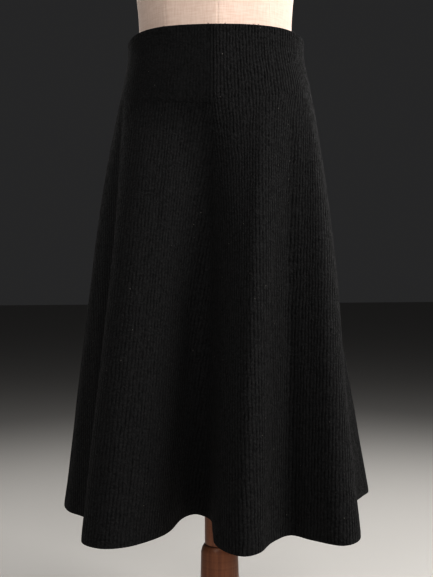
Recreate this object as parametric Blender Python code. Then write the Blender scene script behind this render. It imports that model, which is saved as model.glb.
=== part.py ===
"""An a-line skirt of ribbed wool jersey, worn by a limbless dress form on a turned wooden stand.

Metres, +Z up, and the front faces -Y. The origin is the centre of the base's underside, on the floor.
Left and right are as seen from the front, so right is +X.
The skirt is a shaped yoke of four pieces above four flared gores. Each is a wall of cloth whose ribs are
raised on the outside over a plain inside. A gore is laid out as it is cut, with its ribs upright between
two slanting seams that cut them off, and is then hung: its top edge follows the yoke, its hem follows the
table of folds, and the cloth between them runs nearly straight.
"""

from bisect import bisect_right
from math import cos, hypot, pi, radians, sin

import bmesh
import bpy

# Heights above the floor
WAIST_Z = 1.000
HEM_Z = 0.294
FORM_FOOT_Z = 0.735
SLEEVE_TOP_Z = 0.2425

# The cloth
CLOTH = 0.0016
RIB_HEIGHT = 0.0007
GAP = 0.0003
RIBS_AT_YOKE = 44
RIBS_AT_HEM = 86
MEAN_YOKE_DEPTH = 0.100
YOKE_PIECE_WIDTH = 0.200

# How far apart the columns of vertices are, in ribs, and the least share of a row that is left above one
OUTER_STEP = 0.5
INNER_STEP = 1.5
LEAST_SHARE = 0.02

# The yoke's outer section: depth below the waist edge, half width, half depth
YOKE_SECTIONS = (
    (0.000, 0.1315, 0.1020),
    (0.030, 0.1315, 0.1025),
    (0.050, 0.1350, 0.1055),
    (0.072, 0.1400, 0.1090),
    (0.095, 0.1440, 0.1120),
    (0.115, 0.1470, 0.1145),
)
YOKE_ROW_DEPTHS = (0.0, 0.030, 0.060)

# How much flatter than an ellipse the yoke's front, back and sides are
SQUARENESS = 0.03

# How deep the yoke is at the front, the side and the back, on each half of the skirt
YOKE_DEPTHS = {
    "right": (0.105, 0.083, 0.100),
    "left": (0.113, 0.092, 0.100),
}

# The four upright seams, as angles from the front round to the right, and as shares of the hem's length
SEAM_ANGLES = (-2.0, 90.0, 180.0, 270.0, 358.0)
HEM_SHARES = (0.0, 0.25, 0.515, 0.75, 1.0)
QUARTERS = (
    ("front_right", "right"),
    ("back_right", "right"),
    ("back_left", "left"),
    ("front_left", "left"),
)

# The hem without its folds is an ellipse, and at the sides the skirt spreads quickest just below the yoke
HEM_HALF_WIDTH = 0.225
HEM_HALF_DEPTH = 0.195
EARLY_SPREAD = 0.75

# The hem seen from above, round from the centre front seam: what is there, x, y, how far it is drawn up
# there, and the power of the height by which the fold grows (below 1, it starts high up)
HEM_FOLDS = (
    ("centre front seam, low on the centre lobe's left wall", -0.012, -0.094, 0.006, 0.85),
    ("centre lobe, left wall", -0.009, -0.135, 0.002, 0.85),
    ("centre lobe, left wall", -0.0060, -0.178, 0.000, 1.00),
    ("centre lobe, shoulder", 0.008, -0.213, 0.000, 1.00),
    ("centre lobe, crest", 0.030, -0.232, 0.000, 1.00),
    ("centre lobe, shoulder", 0.052, -0.218, 0.000, 1.00),
    ("centre lobe, right wall", 0.070, -0.177, 0.000, 1.00),
    ("shallow valley", 0.097, -0.142, 0.000, 1.00),
    ("right lobe, left wall", 0.122, -0.163, 0.000, 1.00),
    ("right lobe, crest", 0.158, -0.190, 0.000, 1.00),
    ("right lobe, shoulder", 0.182, -0.174, 0.000, 1.00),
    ("right lobe, right wall", 0.191, -0.140, 0.000, 1.00),
    ("right side valley", 0.188, -0.085, 0.000, 1.00),
    ("right side valley", 0.188, -0.030, 0.000, 1.00),
    ("right side lobe, front wall", 0.206, 0.025, 0.000, 0.90),
    ("right side lobe, shoulder", 0.228, 0.074, 0.000, 0.70),
    ("right side lobe, crest", 0.244, 0.112, 0.000, 0.70),
    ("right side lobe, back wall", 0.232, 0.152, 0.000, 0.90),
    ("right back valley", 0.190, 0.168, 0.000, 1.00),
    ("right back valley", 0.152, 0.160, 0.000, 1.20),
    ("right back lobe, wall", 0.120, 0.178, 0.000, 1.20),
    ("right back lobe, crest", 0.092, 0.205, 0.000, 1.20),
    ("right back lobe, crest", 0.062, 0.212, 0.000, 1.20),
    ("right back lobe, wall", 0.036, 0.192, 0.000, 1.30),
    ("centre back valley", 0.008, 0.162, 0.000, 1.40),
    ("left back lobe, wall", -0.026, 0.182, 0.000, 1.30),
    ("left back lobe, crest", -0.056, 0.216, 0.000, 1.20),
    ("left back lobe, crest", -0.094, 0.214, 0.000, 1.20),
    ("left back lobe, wall", -0.122, 0.176, 0.000, 1.20),
    ("left back valley", -0.152, 0.144, 0.000, 1.20),
    ("left side lobe, back wall", -0.190, 0.144, 0.000, 1.10),
    ("left side lobe, crest", -0.226, 0.112, 0.000, 1.00),
    ("left side lobe, crest", -0.242, 0.056, 0.000, 1.00),
    ("left side lobe, shoulder", -0.231, 0.002, 0.000, 0.90),
    ("left side lobe, front wall", -0.203, -0.034, 0.000, 0.80),
    ("left side valley", -0.172, -0.070, 0.000, 0.75),
    ("left lobe, left wall", -0.174, -0.112, 0.000, 1.00),
    ("left lobe, shoulder", -0.186, -0.150, 0.000, 1.20),
    ("left lobe, shoulder", -0.177, -0.180, 0.000, 1.20),
    ("left lobe, crest", -0.150, -0.197, 0.000, 1.00),
    ("left lobe, crest", -0.119, -0.188, 0.000, 1.00),
    ("left lobe, right wall", -0.088, -0.155, 0.000, 1.00),
    ("left lobe, right wall", -0.068, -0.115, 0.000, 0.85),
    ("valley wall", -0.053, -0.085, 0.009, 0.85),
    ("valley floor", -0.036, -0.072, 0.012, 0.85),
    ("valley floor", -0.021, -0.075, 0.009, 0.85),
)

# Steps of the smooth line between two rows of the table, and how far to either side a slope is measured
SPLINE_STEPS = 12
REACH = 0.002

# Heights of a gore's rows of corners below the yoke's seam, closer together where its folds start
GORE_ROW_HEIGHTS = (0.862, 0.770, 0.560, HEM_Z)

# The dress form's sections: height, half width, half depth, shift of the centre towards the back.
# The widest one inside the yoke is where the skirt rests, so it is the yoke's own section less its wall.
FORM_SECTIONS = (
    (0.735, 0.1190, 0.0840, 0.008),
    (0.744, 0.1310, 0.0950, 0.008),
    (0.772, 0.1410, 0.1030, 0.008),
    (0.812, 0.1435, 0.1070, 0.007),
    (0.850, 0.1430, 0.1080, 0.006),
    (0.883, 0.1410, 0.1070, 0.003),
    (0.910, 0.1390, 0.1060, 0.001),
    (0.940, 0.13537, 0.10519, 0.000),
    (0.962, 0.1250, 0.0960, 0.001),
    (0.985, 0.1172, 0.0885, 0.002),
    (1.002, 0.1150, 0.0870, 0.002),
    (1.020, 0.1146, 0.0866, 0.002),
    (1.065, 0.1178, 0.0890, 0.001),
    (1.115, 0.1260, 0.0970, -0.003),
    (1.155, 0.1335, 0.1080, -0.008),
    (1.190, 0.1385, 0.1140, -0.011),
    (1.225, 0.1415, 0.1085, -0.007),
    (1.262, 0.1485, 0.0985, 0.000),
    (1.295, 0.1620, 0.0900, 0.007),
    (1.322, 0.1725, 0.0815, 0.012),
    (1.344, 0.1725, 0.0740, 0.015),
    (1.362, 0.1600, 0.0680, 0.016),
    (1.377, 0.1320, 0.0640, 0.015),
    (1.390, 0.0990, 0.0610, 0.012),
    (1.402, 0.0730, 0.0590, 0.008),
    (1.418, 0.0600, 0.0570, 0.004),
    (1.452, 0.0550, 0.0550, -0.001),
)
FORM_SIDES = 40

# Turned pieces: the profile's radius and height, from the middle of the underside to the middle of the top
NECK_CAP_Z = FORM_SECTIONS[-1][0] + GAP
NECK_CAP_PROFILE = (
    (0.0530, 0.000),
    (0.0565, 0.003),
    (0.0565, 0.011),
    (0.0520, 0.016),
    (0.0200, 0.019),
)
POLE_RADIUS = 0.022
POLE_PROFILE = (
    (POLE_RADIUS, SLEEVE_TOP_Z + GAP),
    (POLE_RADIUS, FORM_FOOT_Z - GAP),
)
BASE_RADIUS = 0.180
BASE_TOP_Z = 0.030
SLEEVE_PROFILE = (
    (0.0460, BASE_TOP_Z + GAP),
    (0.0460, 0.038),
    (0.0400, 0.046),
    (0.0330, 0.054),
    (0.0310, 0.090),
    (0.0290, 0.190),
    (0.0278, 0.2315),
    (0.0262, 0.2375),
    (0.0232, SLEEVE_TOP_Z),
)
BASE_PROFILE = (
    (BASE_RADIUS - 0.002, 0.000),
    (BASE_RADIUS, 0.002),
    (BASE_RADIUS, 0.014),
    (BASE_RADIUS - 0.006, 0.021),
    (BASE_RADIUS - 0.018, 0.0255),
    (0.0600, BASE_TOP_Z),
)
TURNED_SIDES = 40


def between(low, high, share):
    """The value that lies that share of the way from low to high."""
    return low + (high - low) * share


def yoke_section(depth):
    """Half width and half depth of the yoke's outside at a depth below the waist edge."""
    depths = [row[0] for row in YOKE_SECTIONS]
    row = min(max(bisect_right(depths, depth) - 1, 0), len(depths) - 2)
    above, below = YOKE_SECTIONS[row], YOKE_SECTIONS[row + 1]
    share = (depth - above[0]) / (below[0] - above[0])
    return between(above[1], below[1], share), between(above[2], below[2], share)


def seam_angle(quarter, across):
    """The angle from the front, that share of the way across a quarter of the skirt."""
    return radians(between(SEAM_ANGLES[quarter], SEAM_ANGLES[quarter + 1], across))


def hem_share(quarter, across):
    """The share of the hem's length from the centre front seam, that share of the way across a quarter."""
    return between(HEM_SHARES[quarter], HEM_SHARES[quarter + 1], across)


def yoke_depth(half, angle):
    """How far below the waist edge the yoke's lower seam runs, at an angle from the front."""
    front, side, back = YOKE_DEPTHS[half]
    end = front if cos(angle) > 0 else back
    return between(side, end, cos(angle) ** 2)


def seam_z(quarter, across):
    """The height of the yoke's lower seam, that share of the way across a quarter of the skirt."""
    return WAIST_Z - yoke_depth(QUARTERS[quarter][1], seam_angle(quarter, across))


def smooth_loop(points):
    """A closed line through the points, on a Catmull-Rom spline."""
    line = []
    count = len(points)
    for i in range(count):
        p0, p1, p2, p3 = (points[(i + k) % count] for k in (-1, 0, 1, 2))
        for step in range(SPLINE_STEPS):
            t = step / SPLINE_STEPS
            line.append(
                tuple(
                    b + 0.5 * t * (c - a + t * (2 * a - 5 * b + 4 * c - d + t * (3 * (b - c) + d - a)))
                    for a, b, c, d in zip(p0, p1, p2, p3)
                )
            )
    return line + line[:1]


HEM_LINE = smooth_loop([row[1:] for row in HEM_FOLDS])
HEM_LENGTHS = [0.0]
for start, end in zip(HEM_LINE, HEM_LINE[1:]):
    HEM_LENGTHS.append(HEM_LENGTHS[-1] + hypot(end[0] - start[0], end[1] - start[1]))


def hem_point(share):
    """The hem's x, y, rise and fold power, that share of its length round from the centre front seam."""
    length = share % 1.0 * HEM_LENGTHS[-1]
    i = min(bisect_right(HEM_LENGTHS, length) - 1, len(HEM_LENGTHS) - 2)
    along = (length - HEM_LENGTHS[i]) / (HEM_LENGTHS[i + 1] - HEM_LENGTHS[i])
    return tuple(between(start, end, along) for start, end in zip(HEM_LINE[i], HEM_LINE[i + 1]))


def outside(quarter, across, z):
    """x and y on the skirt's outside at a height, that share of the way across a quarter of it."""
    angle = seam_angle(quarter, across)
    flare_z = WAIST_Z - yoke_depth("right", angle)
    half_width, half_depth = yoke_section(WAIST_Z - max(z, flare_z))
    top = (
        half_width * (sin(angle) + SQUARENESS * sin(3 * angle)) / (1 - SQUARENESS),
        -half_depth * (cos(angle) - SQUARENESS * cos(3 * angle)) / (1 - SQUARENESS),
    )
    if z >= flare_z:
        return top
    down = (flare_z - z) / (flare_z - HEM_Z)
    spread = down + EARLY_SPREAD * sin(angle) ** 6 * down * (1 - down) ** 2
    plain = HEM_HALF_WIDTH * sin(angle), -HEM_HALF_DEPTH * cos(angle)
    x, y, _, power = hem_point(hem_share(quarter, across))
    return tuple(
        between(start, even, spread) + (end - even) * down**power
        for start, even, end in zip(top, plain, (x, y))
    )


def lifted(quarter, across, z, lift):
    """A point of the skirt's outside, moved outwards by the lift."""
    x, y = outside(quarter, across, z)
    x0, y0 = outside(quarter, across - REACH, z)
    x1, y1 = outside(quarter, across + REACH, z)
    length = hypot(x1 - x0, y1 - y0)
    return x + lift * (y1 - y0) / length, y - lift * (x1 - x0) / length, z


def ribs_across(z):
    """How many ribs a gore has from seam to seam at a height."""
    top = WAIST_Z - MEAN_YOKE_DEPTH
    return between(RIBS_AT_YOKE, RIBS_AT_HEM, max(0.0, (top - z) / (top - HEM_Z)))


class YokePiece:
    """A quarter of the yoke. A column is a number of ribs from the middle, and a row a level."""

    def __init__(self, quarter):
        self.quarter = quarter
        half = RIBS_AT_YOKE / 2 * (1 - GAP / YOKE_PIECE_WIDTH)
        self.half_ribs = [half] * (len(YOKE_ROW_DEPTHS) + 1)

    def point(self, column, row, lift):
        across = 0.5 + column / RIBS_AT_YOKE
        if row < len(YOKE_ROW_DEPTHS):
            z = WAIST_Z - YOKE_ROW_DEPTHS[row]
        else:
            z = seam_z(self.quarter, across) + GAP / 2
        return lifted(self.quarter, across, z, lift)


class GorePiece:
    """A flared gore, whose ribs keep their distance while the seams move apart."""

    def __init__(self, quarter):
        self.quarter = quarter
        self.heights = (WAIST_Z - MEAN_YOKE_DEPTH,) + GORE_ROW_HEIGHTS
        hem_width = (HEM_SHARES[quarter + 1] - HEM_SHARES[quarter]) * HEM_LENGTHS[-1]
        self.half_ribs = []
        for z in self.heights:
            ribs = ribs_across(z)
            flare = (ribs - RIBS_AT_YOKE) / (RIBS_AT_HEM - RIBS_AT_YOKE)
            self.half_ribs.append(ribs / 2 * (1 - GAP / between(YOKE_PIECE_WIDTH, hem_width, flare)))

    def point(self, column, row, lift):
        across = 0.5 + column / ribs_across(self.heights[row])
        if row == 0:
            z = seam_z(self.quarter, across) - GAP / 2
        elif row == len(self.heights) - 1:
            z = HEM_Z + hem_point(hem_share(self.quarter, across))[2]
        else:
            z = self.heights[row]
        return lifted(self.quarter, across, z, lift)


def strip(mesh, first, second):
    """Faces between two lines of (place, vertex), matched by their places."""
    i = j = 0
    while i < len(first) - 1 or j < len(second) - 1:
        on_first = j == len(second) - 1 or (i < len(first) - 1 and first[i + 1][0] <= second[j + 1][0])
        corners = [first[i][1], second[j][1]]
        if on_first:
            i += 1
            corners.append(first[i][1])
        else:
            j += 1
            corners.append(second[j][1])
        if len(set(corners)) == 3:
            mesh.faces.new(corners)


def cloth_face(mesh, piece, step, lift_of_column, edge_lift):
    """One face of a piece of cloth. Returns its four borders as lines of (place, vertex)."""
    last = len(piece.half_ribs) - 1
    edges = {}
    for side in (-1, 1):
        edges[side] = [
            (row, mesh.verts.new(piece.point(side * half, row, edge_lift)))
            for row, half in enumerate(piece.half_ribs)
        ]
    middle = [(row, mesh.verts.new(piece.point(0, row, lift_of_column(0)))) for row in range(last + 1)]
    top = [(0, middle[0][1])]
    bottom = [(0, middle[-1][1])]
    for side in (-1, 1):
        corner_line = list(edges[side])
        lines = [middle]
        for k in range(1, int(piece.half_ribs[-1] / step) + 1):
            column = k * step
            if column > piece.half_ribs[-1] - step / 2:
                break
            first_row = next(r for r, half in enumerate(piece.half_ribs) if column < half - step / 4)
            line = []
            if first_row > 0:
                low, high = piece.half_ribs[first_row - 1], piece.half_ribs[first_row]
                share = max((column - low) / (high - low), LEAST_SHARE)
                above, below = corner_line[first_row - 1][1].co, corner_line[first_row][1].co
                line.append((first_row - 1 + share, mesh.verts.new(above.lerp(below, share))))
                edges[side].append(line[0])
            for row in range(first_row, last + 1):
                line.append((row, mesh.verts.new(piece.point(side * column, row, lift_of_column(k)))))
            if first_row == 0:
                top.append((side * column, line[0][1]))
            bottom.append((side * column, line[-1][1]))
            lines.append(line)
        edges[side].sort(key=lambda place: place[0])
        for line, following in zip(lines, lines[1:] + [edges[side][-1:]]):
            start, end = line[0][0], following[0][0]
            if end > 0:
                run = [place for place in edges[side] if start <= place[0] <= end]
                following = run + following[1:]
            strip(mesh, line, following)
        top.append((side * piece.half_ribs[0], edges[side][0][1]))
        bottom.append((side * piece.half_ribs[-1], edges[side][-1][1]))
    top.sort(key=lambda place: place[0])
    bottom.sort(key=lambda place: place[0])
    return top, bottom, edges[-1], edges[1]


def rib_lift(column):
    """Every other column is a rib's crest, and those between them are the grooves."""
    return RIB_HEIGHT if column % 2 == 0 else 0.0


def inner_lift(_column):
    """The inside is plain."""
    return -CLOTH


def new_object(name, mesh, material):
    """An object of the bmesh, facing outwards."""
    bmesh.ops.recalc_face_normals(mesh, faces=mesh.faces)
    data = bpy.data.meshes.new(name)
    mesh.to_mesh(data)
    mesh.free()
    data.materials.append(material)
    made = bpy.data.objects.new(name, data)
    bpy.context.scene.collection.objects.link(made)
    return made


def cloth_wall(name, piece, material):
    """A closed wall of cloth: its ribbed outside, its plain inside, and the four edges that join them."""
    mesh = bmesh.new()
    outside = cloth_face(mesh, piece, OUTER_STEP, rib_lift, 0.0)
    inside = cloth_face(mesh, piece, INNER_STEP, inner_lift, -CLOTH)
    for outer_border, inner_border in zip(outside, inside):
        strip(mesh, outer_border, inner_border)
    return new_object(name, mesh, material)


def closed_rings(mesh, rings):
    """Faces over a stack of rings of vertices, with a flat face on each end."""
    for lower, upper in zip(rings, rings[1:]):
        for i in range(len(lower)):
            j = (i + 1) % len(lower)
            mesh.faces.new((lower[i], lower[j], upper[j], upper[i]))
    mesh.faces.new(rings[0])
    mesh.faces.new(rings[-1])


def ring(mesh, sides, half_width, half_depth, shift, z):
    """The vertices of one level ellipse."""
    turns = [2 * pi * i / sides for i in range(sides)]
    return [mesh.verts.new((half_width * sin(turn), shift - half_depth * cos(turn), z)) for turn in turns]


def dress_form(name, material):
    """The limbless torso, from its foot at the thighs to the top of its neck."""
    mesh = bmesh.new()
    rings = [ring(mesh, FORM_SIDES, width, depth, shift, z) for z, width, depth, shift in FORM_SECTIONS]
    closed_rings(mesh, rings)
    made = new_object(name, mesh, material)
    shade_round(made)
    return made


def turned(name, profile, material, lift=0.0, shift=0.0):
    """A round piece from its profile of radius and height."""
    mesh = bmesh.new()
    closed_rings(mesh, [ring(mesh, TURNED_SIDES, r, r, shift, z + lift) for r, z in profile])
    made = new_object(name, mesh, material)
    shade_round(made)
    return made


def shade_round(made):
    """Smooth shading with crisp corners."""
    made.data.shade_smooth()
    made.data.set_sharp_from_angle(angle=radians(40))


def plain_material(name, colour, roughness, metallic=0.0):
    """A Principled BSDF of one colour."""
    material = bpy.data.materials.new(name)
    material.use_nodes = True
    shader = material.node_tree.nodes["Principled BSDF"]
    shader.inputs["Base Color"].default_value = (*colour, 1.0)
    shader.inputs["Roughness"].default_value = roughness
    shader.inputs["Metallic"].default_value = metallic
    return material


def main():
    for old in list(bpy.data.objects):
        bpy.data.objects.remove(old)
    wool = plain_material("black_wool_rib", (0.012, 0.012, 0.012), 0.95)
    linen = plain_material("cream_linen", (0.72, 0.62, 0.52), 0.85)
    wood = plain_material("brown_beech", (0.24, 0.11, 0.06), 0.45)
    for quarter, (place, _) in enumerate(QUARTERS):
        cloth_wall(f"yoke_{place}", YokePiece(quarter), wool)
        cloth_wall(f"gore_{place}", GorePiece(quarter), wool)
    dress_form("form_body", linen)
    turned("form_neck_cap", NECK_CAP_PROFILE, wood, NECK_CAP_Z, FORM_SECTIONS[-1][3])
    turned("stand_pole", POLE_PROFILE, wood)
    turned("stand_sleeve", SLEEVE_PROFILE, wood)
    turned("stand_base", BASE_PROFILE, wood)


main()
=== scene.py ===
"""The looks of an a-line skirt of ribbed black wool, worn by a linen dress form on a turned wooden stand."""

import random
from bisect import bisect_right
from math import atan2, cos, degrees, exp, hypot, pi, radians, sin

import bpy
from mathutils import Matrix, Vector, noise


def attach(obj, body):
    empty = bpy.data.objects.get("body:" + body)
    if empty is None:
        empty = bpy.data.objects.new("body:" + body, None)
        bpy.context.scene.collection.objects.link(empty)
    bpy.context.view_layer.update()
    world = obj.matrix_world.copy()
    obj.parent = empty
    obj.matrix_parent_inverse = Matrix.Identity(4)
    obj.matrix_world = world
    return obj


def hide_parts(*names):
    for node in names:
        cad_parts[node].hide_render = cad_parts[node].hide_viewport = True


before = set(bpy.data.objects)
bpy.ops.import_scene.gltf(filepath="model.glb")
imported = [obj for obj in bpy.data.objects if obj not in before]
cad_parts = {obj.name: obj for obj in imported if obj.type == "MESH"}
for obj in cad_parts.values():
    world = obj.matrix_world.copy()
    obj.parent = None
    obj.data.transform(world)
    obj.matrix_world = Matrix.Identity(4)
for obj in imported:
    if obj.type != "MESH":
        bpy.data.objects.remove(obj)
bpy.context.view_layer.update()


# The camera stands 1.38 m in front of the pole, level with the middle of the skirt, as the photo's did: the
# skirt's top edge is seen from below and its hem from above. It is rolled by half a degree, and it draws
# the shadows down as a phone's camera does: a gamma under 1 makes the darks darker.
PHOTO_HEIGHT_PX = 577
FOCAL_PX = 913.6
SENSOR_MM = 36.0
CAMERA_PLACE = (-0.0013, -1.380, 0.648)
CAMERA_DIP = 0.0137
CAMERA_ROLL = 0.0079
CONTRAST_GAMMA = 0.7

bpy.ops.object.camera_add(location=CAMERA_PLACE, rotation=(pi / 2 - CAMERA_DIP, CAMERA_ROLL, 0))
camera = bpy.context.object
camera.data.sensor_width = SENSOR_MM
camera.data.lens = SENSOR_MM * FOCAL_PX / PHOTO_HEIGHT_PX
bpy.context.scene.camera = camera
bpy.context.scene.view_settings.view_transform = "Standard"
bpy.context.scene.view_settings.gamma = CONTRAST_GAMMA


# The studio: a pale floor that runs far back, dim surroundings, and seven soft boxes round the skirt, above
# it. The strongest stands to the front and right, and those at the sides and behind draw the light rims.
FLOOR_SIZE = 40.0
FLOOR_COLOUR = "#b8b5b1"
SURROUND_COLOUR = "#e6e6e8"
SURROUND_STRENGTH = 0.07
SOFT_BOX_SIZE = 0.90
LIT_PLACE = (0.0, 0.0, 0.65)
SOFT_BOXES = (
    ("key_light", (1.575, -0.909, 1.70), 61.0),
    ("right_side_light", (1.791, 0.316, 1.70), 14.0),
    ("right_front_light", (0.622, -1.709, 1.70), 27.0),
    ("left_front_light", (-0.909, -1.575, 1.70), 21.0),
    ("left_side_light", (-1.819, 0.0, 1.70), 8.0),
    ("right_back_light", (1.169, 1.393, 1.70), 22.0),
    ("left_back_light", (-1.045, 1.488, 1.70), 14.0),
)


def linear(colour):
    """A colour's linear RGBA from its sRGB hex value."""
    parts = [int(colour[i : i + 2], 16) / 255 for i in (1, 3, 5)]
    return (*(c / 12.92 if c <= 0.04045 else ((c + 0.055) / 1.055) ** 2.4 for c in parts), 1.0)


def add_node(tree, kind, settings=None, links=None):
    """A shader node with its settings, and the outputs that go into it."""
    node = tree.nodes.new(kind)
    for name, value in (settings or {}).items():
        if isinstance(name, int) or name in node.inputs:
            node.inputs[name].default_value = value
        else:
            setattr(node, name, value)
    for name, output in (links or {}).items():
        tree.links.new(output, node.inputs[name])
    return node


def new_material(name):
    """A material with only its Principled BSDF, and that shader."""
    material = bpy.data.materials.new(name)
    material.use_nodes = True
    return material, material.node_tree, material.node_tree.nodes["Principled BSDF"]


bpy.ops.object.select_all(action="DESELECT")
bpy.ops.mesh.primitive_plane_add(size=FLOOR_SIZE, location=(0, 0, 0))
floor = bpy.context.object
floor.name = "studio_floor"
# Matt paper: a floor that only catches soft shadows
paper, _, paper_shader = new_material("matt_paper")
paper_shader.inputs["Base Color"].default_value = linear(FLOOR_COLOUR)
paper_shader.inputs["Roughness"].default_value = 0.9
floor.data.materials.append(paper)

surround = bpy.data.worlds.new("studio_surround")
bpy.context.scene.world = surround
surround.use_nodes = True
surround.node_tree.nodes["Background"].inputs["Color"].default_value = linear(SURROUND_COLOUR)
surround.node_tree.nodes["Background"].inputs["Strength"].default_value = SURROUND_STRENGTH

for light_name, place, power in SOFT_BOXES:
    bpy.ops.object.light_add(type="AREA", location=place)
    soft_box = bpy.context.object
    soft_box.name = light_name
    soft_box.data.shape = "SQUARE"
    soft_box.data.size = SOFT_BOX_SIZE
    soft_box.data.energy = power
    soft_box.rotation_euler = (Vector(LIT_PLACE) - Vector(place)).to_track_quat("-Z", "Y").to_euler()


# The gores: four flared panels of rib-knit wool jersey, each cut with its ribs upright between two slanting
# side seams, sewn to the yoke and to each other, and left to hang in folds down to a clean hem.
WAIST_Z = 1.000
HEM_Z = 0.294
CLOTH = 0.0013
CUT_EDGE_DEGREES = 80
RIB_PITCH = 0.00455
RIBS_AT_YOKE = 44
RIBS_AT_HEM = 86
COLUMNS_A_RIB = 6
RIB_HEIGHT = 0.0006
RIB_ROUNDNESS = 0.6
GORE_LENGTH = 0.607
GORE_ROWS = 100
GORE_EXTRA_ROWS = (0.0012, 0.0028, 0.0050, GORE_LENGTH - 0.002)

# How deep a line of stitches draws the cloth in, and how far to either side: at the gores' side seams and
# hem, and at their tops, under the yoke
SEAM_DEPTH = 0.0005
SEAM_REACH = 0.0030
TUCK_DEPTH = 0.0004
TUCK_REACH = 0.0040

# The cloth's own slight unevenness, in waves that are about twice as long down the cloth as across it
WAVE_HEIGHT = 0.0016
WAVE_LENGTH = 0.085
RIPPLE_HEIGHT = 0.0004
RIPPLE_LENGTH = 0.022
WAVE_SHORTENING = 0.45

# The four quarters of the skirt, counted round from the centre front seam to the right: where each gore and
# yoke piece ends on the yoke's line, and on the hem
QUARTERS = ("front_right", "back_right", "back_left", "front_left")
SEAM_ANGLES = (-1.4, 90.0, 180.0, 270.0, 358.6)
HEM_SHARES = (0.0, 0.25, 0.515, 0.75, 1.0)

# The plain flare that the folds depart from, and how much sooner it spreads at the sides
HEM_HALF_WIDTH = 0.225
HEM_HALF_DEPTH = 0.195
EARLY_SPREAD = 0.75
EARLY_SPREAD_POWER = 6

# How full the yoke's corners are, how evenly the ribs lie round them, and how finely the lines are followed
SQUARENESS = 0.03
RIB_EVENNESS = 0.85
SPLINE_STEPS = 12
ARC_STEPS = 120
REACH = 0.001

# The yoke's outer section: depth below the waist edge, half width, half depth
YOKE_SECTIONS = (
    (-0.020, 0.1315, 0.1020),
    (0.000, 0.1315, 0.1020),
    (0.030, 0.1315, 0.1025),
    (0.050, 0.1350, 0.1055),
    (0.072, 0.1400, 0.1090),
    (0.095, 0.1440, 0.1120),
    (0.115, 0.1470, 0.1145),
)

# How deep the yoke is at the front, the side and the back, on the right and the left half of the skirt
YOKE_DEPTHS = {"right": (0.105, 0.083, 0.100), "left": (0.113, 0.092, 0.100)}

# The hem seen from above, round from the centre front seam: what is there, x, y, how far it is drawn up
# there, and the power of the height by which the fold grows (below 1, it starts high up)
HEM_FOLDS = (
    ("centre front seam, low on the centre lobe's left wall", -0.012, -0.094, 0.006, 0.82),
    ("centre lobe, left wall", -0.009, -0.135, 0.002, 0.85),
    ("centre lobe, left wall", -0.006, -0.178, 0.000, 1.00),
    ("centre lobe, shoulder", 0.008, -0.213, 0.000, 0.96),
    ("centre lobe, crest", 0.030, -0.232, 0.000, 0.87),
    ("centre lobe, shoulder", 0.052, -0.217, 0.000, 0.87),
    ("centre lobe, right wall", 0.069, -0.176, 0.000, 0.78),
    ("shallow valley", 0.096, -0.141, 0.000, 0.72),
    ("right lobe, left wall", 0.122, -0.163, 0.000, 0.85),
    ("right lobe, crest", 0.158, -0.190, 0.000, 0.85),
    ("right lobe, shoulder", 0.182, -0.174, 0.000, 0.90),
    ("right lobe, right wall", 0.191, -0.140, 0.000, 1.00),
    ("right side valley", 0.188, -0.085, 0.000, 1.00),
    ("right side valley", 0.188, -0.030, 0.000, 1.00),
    ("right side lobe, front wall", 0.206, 0.025, 0.000, 0.90),
    ("right side lobe, shoulder", 0.228, 0.074, 0.000, 0.70),
    ("right side lobe, crest", 0.244, 0.112, 0.000, 0.70),
    ("right side lobe, back wall", 0.232, 0.152, 0.000, 0.90),
    ("right back valley", 0.190, 0.168, 0.000, 1.00),
    ("right back valley", 0.152, 0.160, 0.000, 1.20),
    ("right back lobe, wall", 0.120, 0.178, 0.000, 1.20),
    ("right back lobe, crest", 0.092, 0.205, 0.000, 1.20),
    ("right back lobe, crest", 0.062, 0.212, 0.000, 1.20),
    ("right back lobe, wall", 0.036, 0.192, 0.000, 1.30),
    ("centre back valley", 0.008, 0.162, 0.000, 1.40),
    ("left back lobe, wall", -0.026, 0.182, 0.000, 1.30),
    ("left back lobe, crest", -0.056, 0.216, 0.000, 1.20),
    ("left back lobe, crest", -0.094, 0.214, 0.000, 1.20),
    ("left back lobe, wall", -0.122, 0.176, 0.000, 1.20),
    ("left back valley", -0.152, 0.144, 0.000, 1.20),
    ("left side lobe, back wall", -0.190, 0.144, 0.000, 1.10),
    ("left side lobe, crest", -0.226, 0.112, 0.000, 1.00),
    ("left side lobe, crest", -0.242, 0.056, 0.000, 1.00),
    ("left side lobe, shoulder", -0.231, 0.002, 0.000, 0.90),
    ("left side lobe, front wall", -0.203, -0.034, 0.000, 0.80),
    ("left side valley", -0.172, -0.070, 0.000, 0.68),
    ("left lobe, left wall", -0.174, -0.112, 0.000, 0.90),
    ("left lobe, shoulder", -0.186, -0.150, 0.000, 1.00),
    ("left lobe, shoulder", -0.177, -0.180, 0.000, 1.00),
    ("left lobe, crest", -0.150, -0.197, 0.000, 1.00),
    ("left lobe, crest", -0.119, -0.188, 0.000, 1.00),
    ("left lobe, right wall", -0.088, -0.155, 0.000, 1.00),
    ("left lobe, right wall", -0.068, -0.115, 0.000, 0.85),
    ("valley wall", -0.053, -0.085, 0.009, 0.85),
    ("valley floor", -0.036, -0.072, 0.012, 0.85),
    ("valley floor", -0.021, -0.075, 0.009, 0.85),
)


def between(low, high, share):
    """The value that lies that share of the way from low to high."""
    return low + (high - low) * share


def smooth_loop(points):
    """A closed line through the points, on a Catmull-Rom spline."""
    line = []
    count = len(points)
    for i in range(count):
        p0, p1, p2, p3 = (points[(i + k) % count] for k in (-1, 0, 1, 2))
        for step in range(SPLINE_STEPS):
            t = step / SPLINE_STEPS
            line.append(
                tuple(
                    b + 0.5 * t * (c - a + t * (2 * a - 5 * b + 4 * c - d + t * (3 * (b - c) + d - a)))
                    for a, b, c, d in zip(p0, p1, p2, p3)
                )
            )
    return line + line[:1]


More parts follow.
